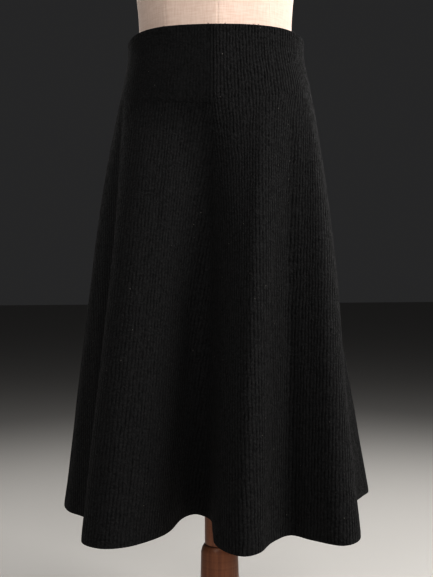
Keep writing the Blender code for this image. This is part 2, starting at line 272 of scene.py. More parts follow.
hem_line = smooth_loop([row[1:] for row in HEM_FOLDS])
hem_lengths = [0.0]
for start, end in zip(hem_line, hem_line[1:]):
    hem_lengths.append(hem_lengths[-1] + hypot(end[0] - start[0], end[1] - start[1]))


def hem_point(quarter, across):
    """The hem's x, y, rise and fold power, that share of the way across a quarter of the skirt."""
    share = between(HEM_SHARES[quarter], HEM_SHARES[quarter + 1], across)
    length = share % 1.0 * hem_lengths[-1]
    i = min(bisect_right(hem_lengths, length) - 1, len(hem_lengths) - 2)
    along = (length - hem_lengths[i]) / (hem_lengths[i + 1] - hem_lengths[i])
    return tuple(between(start, end, along) for start, end in zip(hem_line[i], hem_line[i + 1]))


def squared_ellipse(angle, half_width, half_depth):
    """x and y at an angle on the yoke's line seen from above, an ellipse with slightly fuller corners."""
    x = half_width * (sin(angle) + SQUARENESS * sin(3 * angle)) / (1 - SQUARENESS)
    y = -half_depth * (cos(angle) - SQUARENESS * cos(3 * angle)) / (1 - SQUARENESS)
    return x, y


yoke_arcs = []
for first, last in zip(SEAM_ANGLES, SEAM_ANGLES[1:]):
    angles = [radians(between(first, last, step / ARC_STEPS)) for step in range(ARC_STEPS + 1)]
    places = [squared_ellipse(angle, *YOKE_SECTIONS[0][1:]) for angle in angles]
    arcs = [0.0]
    for start, end in zip(places, places[1:]):
        arcs.append(arcs[-1] + hypot(end[0] - start[0], end[1] - start[1]))
    yoke_arcs.append((angles, arcs))


def seam_angle(quarter, across):
    """The angle from the front, that share of the way across a quarter, so that ribs are evenly spaced."""
    angles, arcs = yoke_arcs[quarter]
    arc = across * arcs[-1]
    i = min(max(bisect_right(arcs, arc) - 1, 0), ARC_STEPS - 1)
    even = between(angles[i], angles[i + 1], (arc - arcs[i]) / (arcs[i + 1] - arcs[i]))
    return between(between(angles[0], angles[-1], across), even, RIB_EVENNESS)


def yoke_depth(half, angle):
    """How far below the waist edge the yoke's lower seam runs, at an angle from the front."""
    front, side, back = YOKE_DEPTHS[half]
    return between(side, front if cos(angle) > 0 else back, cos(angle) ** 2)


def seam_z(quarter, across):
    """The height of the yoke's lower seam, that share of the way across a quarter of the skirt."""
    return WAIST_Z - yoke_depth(QUARTERS[quarter].split("_")[1], seam_angle(quarter, across))


def hem_z(quarter, across):
    """The height of the hem, that share of the way across a quarter of the skirt."""
    return HEM_Z + hem_point(quarter, across)[2]


def yoke_section(depth):
    """Half width and half depth of the yoke's outside at a depth below the waist edge."""
    depths = [row[0] for row in YOKE_SECTIONS]
    row = min(max(bisect_right(depths, depth) - 1, 0), len(depths) - 2)
    above, below = YOKE_SECTIONS[row], YOKE_SECTIONS[row + 1]
    share = (depth - above[0]) / (below[0] - above[0])
    return between(above[1], below[1], share), between(above[2], below[2], share)


def outside(quarter, across, z):
    """x and y on the skirt's outside at a height, that share of the way across a quarter of it."""
    angle = seam_angle(quarter, across)
    flare_z = WAIST_Z - yoke_depth("right", angle)
    half_width, half_depth = yoke_section(WAIST_Z - max(z, flare_z))
    top = squared_ellipse(angle, half_width, half_depth)
    if z >= flare_z:
        return top
    down = (flare_z - z) / (flare_z - HEM_Z)
    spread = down + EARLY_SPREAD * sin(angle) ** EARLY_SPREAD_POWER * down * (1 - down) ** 2
    plain = HEM_HALF_WIDTH * sin(angle), -HEM_HALF_DEPTH * cos(angle)
    x, y, _, power = hem_point(quarter, across)
    return tuple(
        between(start, even, spread) + (end - even) * down**power
        for start, even, end in zip(top, plain, (x, y))
    )


def hung_point(quarter, across, z, lift):
    """A point of the skirt's outside, moved outwards by the lift and by the cloth's own slight waves."""
    x, y = outside(quarter, across, z)
    x0, y0 = outside(quarter, across - REACH, z)
    x1, y1 = outside(quarter, across + REACH, z)
    length = hypot(x1 - x0, y1 - y0)
    place = Vector((x, y, z * WAVE_SHORTENING))
    lift += WAVE_HEIGHT * noise.noise(place / WAVE_LENGTH)
    lift += RIPPLE_HEIGHT * noise.noise(place / RIPPLE_LENGTH)
    return x + lift * (y1 - y0) / length, y - lift * (x1 - x0) / length, z


def dip(distance, depth=SEAM_DEPTH, reach=SEAM_REACH):
    """How far the cloth is drawn in, that distance from a line of stitches."""
    return -depth * exp(-((distance / reach) ** 2))


def rib_profile(column):
    """How much of a rib's height there is at a column, counted in ribs: a round back, a narrow groove."""
    return abs(sin(pi * column)) ** RIB_ROUNDNESS


def flat_cloth(name, ribs, length, rows, extra_lines):
    """A flat rectangle of rib knit with its ribs along Y, and more rows of vertices at the extra lines."""
    bpy.ops.object.select_all(action="DESELECT")
    bpy.ops.mesh.primitive_grid_add(x_subdivisions=ribs * COLUMNS_A_RIB, y_subdivisions=rows, size=1)
    cloth = bpy.context.object
    cloth.name = name
    bpy.ops.object.mode_set(mode="EDIT")
    bpy.ops.transform.resize(value=(ribs * RIB_PITCH, length, 1))
    for line in extra_lines:
        bpy.ops.mesh.select_all(action="SELECT")
        bpy.ops.mesh.bisect(plane_co=(0, length / 2 - line, 0), plane_no=(0, 1, 0))
    return cloth


def slant_sides(length, ribs_at_top, ribs_at_bottom):
    """Cuts the sides of the flat cloth in edit mode along two slanting lines."""
    for side in (-1, 1):
        top = Vector((side * ribs_at_top * RIB_PITCH / 2, length / 2, 0))
        bottom = Vector((side * ribs_at_bottom * RIB_PITCH / 2, -length / 2, 0))
        along = bottom - top
        bpy.ops.mesh.select_all(action="SELECT")
        bpy.ops.mesh.bisect(plane_co=top, plane_no=(-side * along.y, side * along.x, 0), clear_outer=True)


def finish_cloth(cloth, material):
    """Gives the hung cloth its thickness, inwards, its cut edges and its material."""
    bpy.ops.object.mode_set(mode="OBJECT")
    wall = cloth.modifiers.new("wall", "SOLIDIFY")
    wall.thickness = CLOTH
    wall.offset = -1
    wall.use_even_offset = False
    bpy.ops.object.modifier_apply(modifier=wall.name)
    bpy.ops.object.shade_smooth_by_angle(angle=radians(CUT_EDGE_DEGREES))
    cloth.data.materials.append(material)
    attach(cloth, "root")


# Black worsted wool in a rib knit: matt, with a fuzz of fine fibres that catches the light on the ribs'
# backs, uneven dye, and painted shade in the grooves, which thins here and there where tighter stitches
# close the grooves up. The real stitches, 2.4 mm long, are drawn twice as long so that they show, and the
# fuzz coarser. A few pale flecks are lint.
WOOL_BLACK = "#131313"
WOOL_FADED = "#1c1b1b"
# The grooves' colour is painted shade
WOOL_GROOVE_SHADE = "#080808"
WOOL_LINT = "#6a6661"
WOOL_SHEEN = "#c8c4c0"
STITCH_MM = 4.8
FIBRE_MM = 2.6
MOTTLE_MM = 9.0
LINT_MM = 17.0

wool, wool_tree, wool_shader = new_material("black_wool_rib_jersey")
wool_place = add_node(wool_tree, "ShaderNodeTexCoord").outputs["Object"]
wool_knit = add_node(wool_tree, "ShaderNodeAttribute", {"attribute_name": "knit"}).outputs["Vector"]
wool_rib = add_node(wool_tree, "ShaderNodeAttribute", {"attribute_name": "rib"}).outputs["Fac"]
wool_mottle = add_node(
    wool_tree,
    "ShaderNodeTexNoise",
    {"Scale": 1000 / MOTTLE_MM, "Detail": 3.0, "Roughness": 0.65},
    {"Vector": wool_place},
)
wool_fibre = add_node(
    wool_tree,
    "ShaderNodeTexNoise",
    {"Scale": 1000 / FIBRE_MM, "Detail": 2.0, "Roughness": 0.6},
    {"Vector": wool_place},
)
wool_stitch_run = add_node(
    wool_tree, "ShaderNodeMapping", {"Scale": (1.0, 1000 / STITCH_MM, 1.0)}, {"Vector": wool_knit}
)
wool_stitch = add_node(
    wool_tree,
    "ShaderNodeTexNoise",
    {"Scale": 1.1, "Detail": 1.5, "Roughness": 0.6},
    {"Vector": wool_stitch_run.outputs["Vector"]},
)
wool_dye = add_node(
    wool_tree,
    "ShaderNodeMix",
    {"data_type": "RGBA", 6: linear(WOOL_BLACK), 7: linear(WOOL_FADED)},
    {0: wool_mottle.outputs["Fac"]},
)
wool_closed = add_node(
    wool_tree,
    "ShaderNodeMapRange",
    {"From Min": 0.42, "From Max": 0.64, "To Min": 0.0, "To Max": 0.8},
    {"Value": wool_stitch.outputs["Fac"]},
)
wool_fuzz = add_node(
    wool_tree,
    "ShaderNodeMapRange",
    {"From Min": 0.30, "From Max": 0.70, "To Min": 0.45, "To Max": 1.25},
    {"Value": wool_fibre.outputs["Fac"]},
)
wool_closed_rib = add_node(
    wool_tree,
    "ShaderNodeMath",
    {"operation": "MAXIMUM"},
    {0: wool_rib, 1: wool_closed.outputs["Result"]},
)
wool_slack = add_node(
    wool_tree,
    "ShaderNodeMapRange",
    {"From Min": 0.30, "From Max": 0.50, "To Min": 0.70, "To Max": 1.03},
    {"Value": wool_stitch.outputs["Fac"]},
)
wool_uneven = add_node(
    wool_tree,
    "ShaderNodeMath",
    {"operation": "MULTIPLY"},
    {0: wool_slack.outputs["Result"], 1: wool_fuzz.outputs["Result"]},
)
# Painted shade on the front left: it lowers the knit's height, so the wool there turns darker and less
# glossy
wool_left_shade = add_node(wool_tree, "ShaderNodeSeparateXYZ", {}, {"Vector": wool_knit})
wool_left_unshaded = add_node(
    wool_tree,
    "ShaderNodeMath",
    {"operation": "SUBTRACT", 0: 1.0},
    {1: wool_left_shade.outputs["Z"]},
)
wool_uneven_and_shaded = add_node(
    wool_tree,
    "ShaderNodeMath",
    {"operation": "MULTIPLY"},
    {0: wool_uneven.outputs["Value"], 1: wool_left_unshaded.outputs["Value"]},
)
wool_height = add_node(
    wool_tree,
    "ShaderNodeMath",
    {"operation": "MULTIPLY"},
    {0: wool_closed_rib.outputs["Value"], 1: wool_uneven_and_shaded.outputs["Value"]},
)
# Painted shade: the groove colour is laid where the knit is low, in the ribs' grooves
wool_groove_shaded = add_node(
    wool_tree,
    "ShaderNodeMix",
    {"data_type": "RGBA", 6: linear(WOOL_GROOVE_SHADE)},
    {0: wool_height.outputs["Value"], 7: wool_dye.outputs[2]},
)
wool_lint = add_node(
    wool_tree, "ShaderNodeTexVoronoi", {"Scale": 1000 / LINT_MM}, {"Vector": wool_place}
)
wool_lint_here = add_node(
    wool_tree,
    "ShaderNodeMapRange",
    {"From Min": 0.045, "From Max": 0.02},
    {"Value": wool_lint.outputs["Distance"]},
)
wool_flecked = add_node(
    wool_tree,
    "ShaderNodeMix",
    {"data_type": "RGBA", 7: linear(WOOL_LINT)},
    {0: wool_lint_here.outputs["Result"], 6: wool_groove_shaded.outputs[2]},
)
wool_bump = add_node(
    wool_tree,
    "ShaderNodeBump",
    {"Strength": 0.8, "Distance": 0.0009},
    {"Height": wool_height.outputs["Value"]},
)
wool_gloss = add_node(
    wool_tree,
    "ShaderNodeMapRange",
    {"From Min": 0.0, "From Max": 1.2, "To Min": 0.03, "To Max": 0.37},
    {"Value": wool_height.outputs["Value"]},
)
wool_tree.links.new(wool_flecked.outputs[2], wool_shader.inputs["Base Color"])
wool_tree.links.new(wool_gloss.outputs["Result"], wool_shader.inputs["Specular IOR Level"])
wool_tree.links.new(wool_bump.outputs["Normal"], wool_shader.inputs["Normal"])
wool_shader.inputs["Roughness"].default_value = 0.92
wool_shader.inputs["Sheen Weight"].default_value = 0.05
wool_shader.inputs["Sheen Roughness"].default_value = 0.4
wool_shader.inputs["Sheen Tint"].default_value = linear(WOOL_SHEEN)

# How the ribs wander to either side, counted in ribs, how their grooves fill up in dashes, and what keeps
# the patterns of the pieces apart
RIB_WANDER = 0.30
RIB_WANDER_LENGTH = 0.020
WANDER_A_RIB = 0.31
WANDER_START = 3.0
GROOVE_LOSS = 0.75
DASH_LENGTH = 0.010
DASH_A_RIB = 0.71
DASH_START = 0.3
DASH_CONTRAST = 1.2
PIECE_STEP = 7.0
RIBS_APART = 100
YOKE_START = 10
STEADY_RIBS = 2

# Painted shade on the front left, which faces away from the light from the right: how dark it is at the side
# and at the centre front seam, how far below the yoke it ends there, and how close it keeps to the centre
# front seam
LEFT_PAINTED_SHADE = (0.20, 0.42)
LEFT_PAINTED_SHADE_ENDS = (0.035, 0.300)
LEFT_PAINTED_SHADE_POWER = 8


def left_painted_shade(quarter, straight, below_seam):
    """How much painted shade darkens the wool at a place: all over the left front yoke and a little below
    it.
    """
    if QUARTERS[quarter] != "front_left":
        return 0.0
    ends = between(*LEFT_PAINTED_SHADE_ENDS, straight**LEFT_PAINTED_SHADE_POWER)
    return between(*LEFT_PAINTED_SHADE, straight) * (1 - min(max(below_seam, 0.0) / ends, 1.0))


def knit_attributes(cloth):
    """The cloth's two new attributes, fetched when both are there, as a new one moves those before it."""
    cloth.data.attributes.new("knit", "FLOAT_VECTOR", "POINT")
    cloth.data.attributes.new("rib", "FLOAT", "POINT")
    return cloth.data.attributes["knit"], cloth.data.attributes["rib"]


def knit_point(knit, rib, i, piece, column, along, groove, left_shade):
    """Notes a point's place in a piece's knit, its rib height and painted shade, and gives its wandered
    column.
    """
    knit.data[i].vector = (column + RIBS_APART * piece, along, left_shade)
    own_rib = round(column - 0.5) * DASH_A_RIB + DASH_START
    loose = noise.noise((own_rib, along / DASH_LENGTH, PIECE_STEP * piece))
    depth = groove * (1 - GROOVE_LOSS * min(max(0.5 + DASH_CONTRAST * loose, 0.0), 1.0))
    rib.data[i].value = 1 - depth * (1 - rib_profile(column))
    wander_place = (column * WANDER_A_RIB, along / RIB_WANDER_LENGTH, WANDER_START + PIECE_STEP * piece)
    return column + RIB_WANDER * noise.noise(wander_place)


# How deep the grooves look in each quarter's gore, in their shape and in their painted shade, and how the
# cloth is sunk beside the centre front seam: how deep, how wide, how far left of the seam, and how far below
# the yoke it is at its deepest
GORE_GROOVES = (1.15, 1.0, 1.0, 0.85)
SINK_DEPTH = 0.0018
SINK_REACH = 0.0150
SINK_PLACE = 0.0070
SINK_START = 0.0400


def hang_gore(gore, quarter):
    """Moves each point of a flat gore to its place on the skirt."""
    knit, rib = knit_attributes(gore)
    for i, point in enumerate(gore.data.vertices):
        along = GORE_LENGTH / 2 - point.co.y
        down = along / GORE_LENGTH
        ribs = between(RIBS_AT_YOKE, RIBS_AT_HEM, down)
        column = point.co.x / RIB_PITCH
        straight = 0.5 + column / ribs
        to_side = (0.5 - abs(straight - 0.5)) * ribs
        left_shade = left_painted_shade(quarter, straight, along)
        wandered = knit_point(knit, rib, i, quarter, column, along, GORE_GROOVES[quarter], left_shade)
        across = between(straight, 0.5 + wandered / ribs, min(to_side / STEADY_RIBS, 1.0))
        lift = RIB_HEIGHT * rib.data[i].value + dip(to_side * RIB_PITCH)
        lift += dip(along, TUCK_DEPTH, TUCK_REACH) + dip(GORE_LENGTH - along)
        if QUARTERS[quarter].startswith("front"):
            from_centre = across if quarter == 0 else across - 1
            to_sink = SINK_PLACE + from_centre * ribs * RIB_PITCH
            lift += dip(to_sink, SINK_DEPTH * min(along / SINK_START, 1.0), SINK_REACH)
        z = between(seam_z(quarter, across), hem_z(quarter, across), down)
        point.co = hung_point(quarter, across, z, lift)


for quarter, where in enumerate(QUARTERS):
    gore = flat_cloth(f"gore_{where}_jersey", RIBS_AT_HEM, GORE_LENGTH, GORE_ROWS, GORE_EXTRA_ROWS)
    slant_sides(GORE_LENGTH, RIBS_AT_YOKE, RIBS_AT_HEM)
    bpy.ops.object.mode_set(mode="OBJECT")
    hang_gore(gore, quarter)
    finish_cloth(gore, wool)
    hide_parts(f"gore_{where}")


# The yoke: four shaped pieces of the same jersey, stretched over the form's hips. Its top edge is turned in
# over a narrow elastic and held by a line of stitches that shows as a faint groove.
YOKE_ROWS = 22
TURNED_IN = 0.012
EDGE_RADIUS = 0.0016
CASING = 0.010
CASING_SWELL = 0.0002

# Extra rows of points: over the turned edge, counted in its radius, at the casing's stitches, at the seam
EDGE_ROWS = (-2.6, -1.6, -0.8, 0.0, 0.8, 1.6)
CASING_ROWS = (-0.0015, 0.0, 0.0015)
YOKE_END_ROWS = (0.0012, 0.0030)

# How far the top edge dips at the left side and at the right, and how deep the grooves look in each quarter,
# in their shape and in their painted shade, which is strongest on the front right, where the light falls
# across the ribs
SIDE_DIPS = (0.0080, 0.0055)
SIDE_DIP_POWER = 5
YOKE_GROOVES = (1.3, 1.0, 0.8, 0.5)

# How deep each line of stitches draws the yoke in and how far to either side, and the ridge of the seam's
# turned edges beside the centre front seam: its height, its reach, and its distance from the seam
YOKE_SEAM = (0.0009, 0.0014)
CASING_STITCHES = (0.0002, 0.0012)
YOKE_TUCK = (0.0003, 0.0014)
RIDGE = (0.0006, 0.0014)
RIDGE_PLACE = 0.0028


def waist_edge_z(quarter, across):
    """The height of the top edge, which dips a little at the sides, and more at the left one."""
    side = sin(seam_angle(quarter, across))
    return WAIST_Z - (SIDE_DIPS[0] if side < 0 else SIDE_DIPS[1]) * abs(side) ** SIDE_DIP_POWER


def yoke_lift(quarter, across, to_side, along, depth):
    """How the yoke is drawn in at its seams, and swells over the elastic and beside the front seam."""
    lift = dip(to_side, *YOKE_SEAM) + dip(along - CASING, *CASING_STITCHES) + dip(depth - along, *YOKE_TUCK)
    if along < CASING:
        lift += CASING_SWELL
    if QUARTERS[quarter] == "front_left" and across > 0.5:
        lift -= dip(to_side - RIDGE_PLACE, *RIDGE)
    return lift


for quarter, where in enumerate(QUARTERS):
    depth = YOKE_DEPTHS[where.split("_")[1]][0]
    length = TURNED_IN + depth
    lines = [TURNED_IN + EDGE_RADIUS * k for k in EDGE_ROWS]
    lines += [TURNED_IN + CASING + k for k in CASING_ROWS] + [length - k for k in YOKE_END_ROWS]
    yoke = flat_cloth(f"yoke_{where}_jersey", RIBS_AT_YOKE, length, YOKE_ROWS, lines)
    bpy.ops.object.mode_set(mode="OBJECT")
    knit, rib = knit_attributes(yoke)
    for i, point in enumerate(yoke.data.vertices):
        along = length / 2 - point.co.y - TURNED_IN
        column = point.co.x / RIB_PITCH
        straight = 0.5 + column / RIBS_AT_YOKE
        to_side = (0.5 - abs(straight - 0.5)) * RIBS_AT_YOKE
        left_shade = left_painted_shade(quarter, straight, along - depth)
        piece = quarter + YOKE_START
        wandered = knit_point(knit, rib, i, piece, column, along, YOKE_GROOVES[quarter], left_shade)
        across = between(straight, 0.5 + wandered / RIBS_AT_YOKE, min(to_side / STEADY_RIBS, 1.0))
        top_z = waist_edge_z(quarter, across)
        edge = max(0.0, 1 - abs(along) / EDGE_RADIUS)
        if along >= 0:
            z = between(top_z, seam_z(quarter, across), along / depth)
            lift = RIB_HEIGHT * rib.data[i].value
            lift += yoke_lift(quarter, across, to_side * RIB_PITCH, along, depth)
            lift -= EDGE_RADIUS * (1 - (1 - edge**2) ** 0.5)
        else:
            z = top_z + along
            lift = -EDGE_RADIUS * (1 + (1 - edge**2) ** 0.5)
        point.co = hung_point(quarter, across, z, lift)
    finish_cloth(yoke, wool)
    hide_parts(f"yoke_{where}")


# Loose fibres: tufts of wool, pulled out of the jersey by wear, that stand up along the top edge. A real
# fibre of 0.03 mm wouldn't show, so each is drawn as a thin yarn.
FIBRE_RADIUS = 0.00016
FIBRE_REACH = 0.0016
FIBRE_STEPS = 3
FIBRE_CURL = 0.3
FIBRE_TAPER = 0.25
ROOT_DEPTH = 0.0010
TUFT_SPREAD = 0.006

# Where the tufts stand: the quarter, the share of the way across it, and how many fibres
TUFTS = ((3, 0.63, 6), (3, 0.968, 11), (0, 0.082, 5), (0, 0.296, 6), (0, 0.330, 8))

random.seed(7)
fibre_lines = bpy.data.curves.new("loose_wool_fibres", "CURVE")
fibre_lines.dimensions = "3D"
fibre_lines.bevel_depth = FIBRE_RADIUS
fibre_lines.bevel_resolution = 0
fibre_lines.use_fill_caps = True
for quarter, across, count in TUFTS:
    for _ in range(count):
        root_share = across + random.uniform(-TUFT_SPREAD, TUFT_SPREAD)
        place = Vector(hung_point(quarter, root_share, waist_edge_z(quarter, root_share), -ROOT_DEPTH))
        course = Vector((random.uniform(-1, 1), random.uniform(-0.8, 0.2), random.uniform(0.2, 1)))
        course = course * FIBRE_REACH / FIBRE_STEPS
        fibre = fibre_lines.splines.new("POLY")
        fibre.points.add(FIBRE_STEPS)
        for step, point in enumerate(fibre.points):
            point.co = (*place, 1)
            point.radius = 1 - FIBRE_TAPER * step
            curl = Vector([random.uniform(-FIBRE_CURL, FIBRE_CURL) * FIBRE_REACH for _ in range(3)])
            course += curl / FIBRE_STEPS
            place = place + course
fibres = bpy.data.objects.new("loose_wool_fibres", fibre_lines)
bpy.context.collection.objects.link(fibres)
bpy.ops.object.select_all(action="DESELECT")
bpy.context.view_layer.objects.active = fibres
fibres.select_set(True)
bpy.ops.object.convert(target="MESH")
fibres = bpy.context.object
bpy.ops.object.mode_set(mode="EDIT")
bpy.ops.mesh.select_all(action="SELECT")
bpy.ops.mesh.normals_make_consistent(inside=False)
bpy.ops.object.mode_set(mode="OBJECT")
fibre_rib = fibres.data.attributes.new("rib", "FLOAT", "POINT")
for value in fibre_rib.data:
    value.value = 1.0
fibres.data.materials.clear()
fibres.data.materials.append(wool)
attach(fibres, "root")


# The dress form: a hard torso shell, thinly padded and covered in fine undyed linen, cut in eight panels
# whose seams run up the middles, over the bust and at the sides. It is closed below by the same linen.
FORM_SIDES = 36
FORM_TURN = 1.6
END_INSETS = (0.004, 0.020)
FORM_FOLD_DEGREES = 50

# The form's sections from its foot up: height, half width, half depth, and how far it lies to the back
FORM_SECTIONS = (
    (0.735, 0.1190, 0.0840, 0.008),
    (0.744, 0.1310, 0.0950, 0.008),
    (0.772, 0.1410, 0.1030, 0.008),
    (0.812, 0.1435, 0.1070, 0.007),
    (0.850, 0.1430, 0.1080, 0.006),
    (0.883, 0.1410, 0.1070, 0.003),
    (0.910, 0.1390, 0.1060, 0.001),
    (0.940, 0.13537, 0.10519, 0.000),
    (0.962, 0.1250, 0.0960, 0.001),
    (0.985, 0.1172, 0.0885, 0.002),
    (1.002, 0.1150, 0.0870, 0.002),
    (1.020, 0.1146, 0.0866, 0.002),
    (1.065, 0.1178, 0.0890, 0.001),
    (1.115, 0.1260, 0.0970, -0.003),
    (1.155, 0.1335, 0.1080, -0.008),
    (1.190, 0.1385, 0.1140, -0.011),
    (1.225, 0.1415, 0.1085, -0.007),
    (1.262, 0.1485, 0.0985, 0.000),
    (1.295, 0.1620, 0.0900, 0.007),
    (1.322, 0.1725, 0.0815, 0.012),
    (1.344, 0.1725, 0.0740, 0.015),
    (1.362, 0.1600, 0.0680, 0.016),
    (1.377, 0.1320, 0.0640, 0.015),
    (1.390, 0.0990, 0.0610, 0.012),
    (1.402, 0.0730, 0.0590, 0.008),
    (1.418, 0.0600, 0.0570, 0.004),
    (1.452, 0.0550, 0.0550, -0.001),
)
SMOOTHING_LOSS = (4 + 2 * cos(2 * pi / FORM_SIDES)) / 6

# Where the panels' seams run, in degrees round from the front, how flat a panel is stretched between them,
# how wide a seam is bevelled and how deep it is, and how much of that width its groove takes up
PANEL_SEAMS = (-180, -140, -90, -40, 0, 40, 90, 140, 180)
PANEL_FLATNESS = 0.0024
PANEL_SEAM_WIDTH = 0.0020
PANEL_SEAM_DEPTH = 0.0006
PANEL_GROOVE_SHARE = 0.4
PANEL_SEAM_DEGREES = 0.5
END_RADIUS = 0.045
AXIS_RADIUS = 0.03


def section_at(sections, z):
    """The row of a table of sections at a height, without the height."""
    row = min(max(bisect_right([section[0] for section in sections], z) - 1, 0), len(sections) - 2)
    below, above = sections[row], sections[row + 1]
    share = (z - below[0]) / (above[0] - below[0])
    return tuple(between(low, high, share) for low, high in zip(below[1:], above[1:]))


def select_where(test):
    """Selects the vertices of the edited mesh that pass the test, with the edges and faces between them."""
    mesh = bpy.context.edit_object.data
    bpy.ops.mesh.select_mode(type="VERT")
    bpy.ops.mesh.select_all(action="DESELECT")
    bpy.ops.object.mode_set(mode="OBJECT")
    for point in mesh.vertices:
        point.select = test(point.co)
    bpy.ops.object.mode_set(mode="EDIT")


bpy.ops.object.select_all(action="DESELECT")
bpy.ops.mesh.primitive_circle_add(vertices=FORM_SIDES, radius=1, rotation=(0, 0, radians(FORM_TURN)))
form = bpy.context.object
form.name = "form_body_linen"
bpy.ops.object.transform_apply(rotation=True)
bpy.ops.object.mode_set(mode="EDIT")
bpy.ops.mesh.select_all(action="SELECT")
foot_z, foot_width, foot_depth, foot_shift = FORM_SECTIONS[0]
bpy.ops.transform.resize(value=(foot_width, foot_depth, 1), center_override=(0, 0, 0))
bpy.ops.transform.translate(value=(0, foot_shift, foot_z))
for below, above in zip(FORM_SECTIONS, FORM_SECTIONS[1:]):
    move = (0, above[3] - below[3], above[0] - below[0])
    bpy.ops.mesh.extrude_region_move(TRANSFORM_OT_translate={"value": move})
    bpy.ops.transform.resize(
        value=(above[1] / below[1], above[2] / below[2], 1), center_override=(0, above[3], above[0])
    )
for end_z in (FORM_SECTIONS[0][0], FORM_SECTIONS[-1][0]):
    select_where(lambda co: abs(co.z - end_z) < 1e-5)
    bpy.ops.mesh.edge_face_add()
    for inset in END_INSETS:
        bpy.ops.mesh.inset(thickness=inset)
bpy.ops.mesh.select_all(action="SELECT")
bpy.ops.mesh.normals_make_consistent(inside=False)
bpy.ops.object.mode_set(mode="OBJECT")
rounding = form.modifiers.new("rounding", "SUBSURF")
rounding.levels = rounding.render_levels = 2
bpy.ops.object.modifier_apply(modifier=rounding.name)


def panel_place(co):
    """A point's angle round the form from the front, in degrees, as the panels count it."""
    width, depth, shift = section_at(FORM_SECTIONS, co.z)
    return (degrees(atan2(co.x / width, -(co.y - shift) / depth)) - FORM_TURN + 180) % 360 - 180


def on_panel_seam(co):
    """Whether a point lies on one of the form's seams, and not on its closed ends."""
    to_seam = min(abs(panel_place(co) - seam) for seam in PANEL_SEAMS)
    return to_seam < PANEL_SEAM_DEGREES and hypot(co.x, co.y) > END_RADIUS


bpy.ops.object.mode_set(mode="EDIT")
select_where(on_panel_seam)
bpy.ops.mesh.bevel(offset=PANEL_SEAM_WIDTH, segments=4, affect="EDGES")
bpy.ops.object.mode_set(mode="OBJECT")
for point in form.data.vertices:
    width, depth, shift = section_at(FORM_SECTIONS, point.co.z)
    angle = panel_place(point.co)
    panel = min(bisect_right(PANEL_SEAMS, angle) - 1, len(PANEL_SEAMS) - 2)
    start, end = PANEL_SEAMS[panel], PANEL_SEAMS[panel + 1]
    to_seam = radians(min(angle - start, end - angle)) * (width + depth) / 2
    inward = PANEL_FLATNESS * sin(pi * (angle - start) / (end - start))
    inward -= dip(to_seam, PANEL_SEAM_DEPTH, PANEL_SEAM_WIDTH * PANEL_GROOVE_SHARE)
    reach = hypot(point.co.x, point.co.y - shift)
    if reach > AXIS_RADIUS:
        grown = (reach / SMOOTHING_LOSS - inward) / reach
        point.co = (point.co.x * grown, shift + (point.co.y - shift) * grown, point.co.z)
bpy.ops.object.shade_smooth_by_angle(angle=radians(FORM_FOLD_DEGREES))

# Undyed linen, plain woven of slubby yarn: matt, warm beige, with painted shade that makes it a little
# darker between the threads, and uneven thicker yarns both ways. Real threads of 0.5 mm wouldn't show, so
# they are drawn 1 mm apart.
LINEN_LIGHT = "#b9a89d"
LINEN_GAP_SHADE = "#b09d91"
THREAD_MM = 1.0
SLUB_MM = 14.0

linen, linen_tree, linen_shader = new_material("undyed_woven_linen")
linen_place = add_node(linen_tree, "ShaderNodeTexCoord").outputs["Object"]
linen_across = add_node(
    linen_tree,
    "ShaderNodeMapping",
    {"Scale": (1000 / THREAD_MM, 1000 / THREAD_MM, 1000 / SLUB_MM)},
    {"Vector": linen_place},
)
linen_along = add_node(
    linen_tree,
    "ShaderNodeMapping",
    {"Scale": (1000 / SLUB_MM, 1000 / SLUB_MM, 1000 / THREAD_MM)},
    {"Vector": linen_place},
)
warp, weft = (
    add_node(
        linen_tree,
        "ShaderNodeTexNoise",
        {"Scale": 0.7, "Detail": 1.0},
        {"Vector": run.outputs["Vector"]},
    )
    for run in (linen_across, linen_along)
)
weave = add_node(
    linen_tree,
    "ShaderNodeMath",
    {"operation": "ADD"},
    {0: warp.outputs["Fac"], 1: weft.outputs["Fac"]},
)
weave_share = add_node(
    linen_tree,
    "ShaderNodeMapRange",
    {"From Min": 0.7, "From Max": 1.3},
    {"Value": weave.outputs["Value"]},
)
# Painted shade: the darker colour lies where the weave is low, between the threads
linen_colour = add_node(
    linen_tree,
    "ShaderNodeMix",
    {"data_type": "RGBA", 6: linear(LINEN_GAP_SHADE), 7: linear(LINEN_LIGHT)},
    {0: weave_share.outputs["Result"]},
)
linen_bump = add_node(
    linen_tree,
    "ShaderNodeBump",
    {"Strength": 0.12, "Distance": 0.0003},
    {"Height": weave.outputs["Value"]},
)
linen_tree.links.new(linen_colour.outputs[2], linen_shader.inputs["Base Color"])
linen_tree.links.new(linen_bump.outputs["Normal"], linen_shader.inputs["Normal"])
linen_shader.inputs["Roughness"].default_value = 0.85
linen_shader.inputs["Sheen Weight"].default_value = 0.15
form.data.materials.append(linen)
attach(form, "root")
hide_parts("form_body")


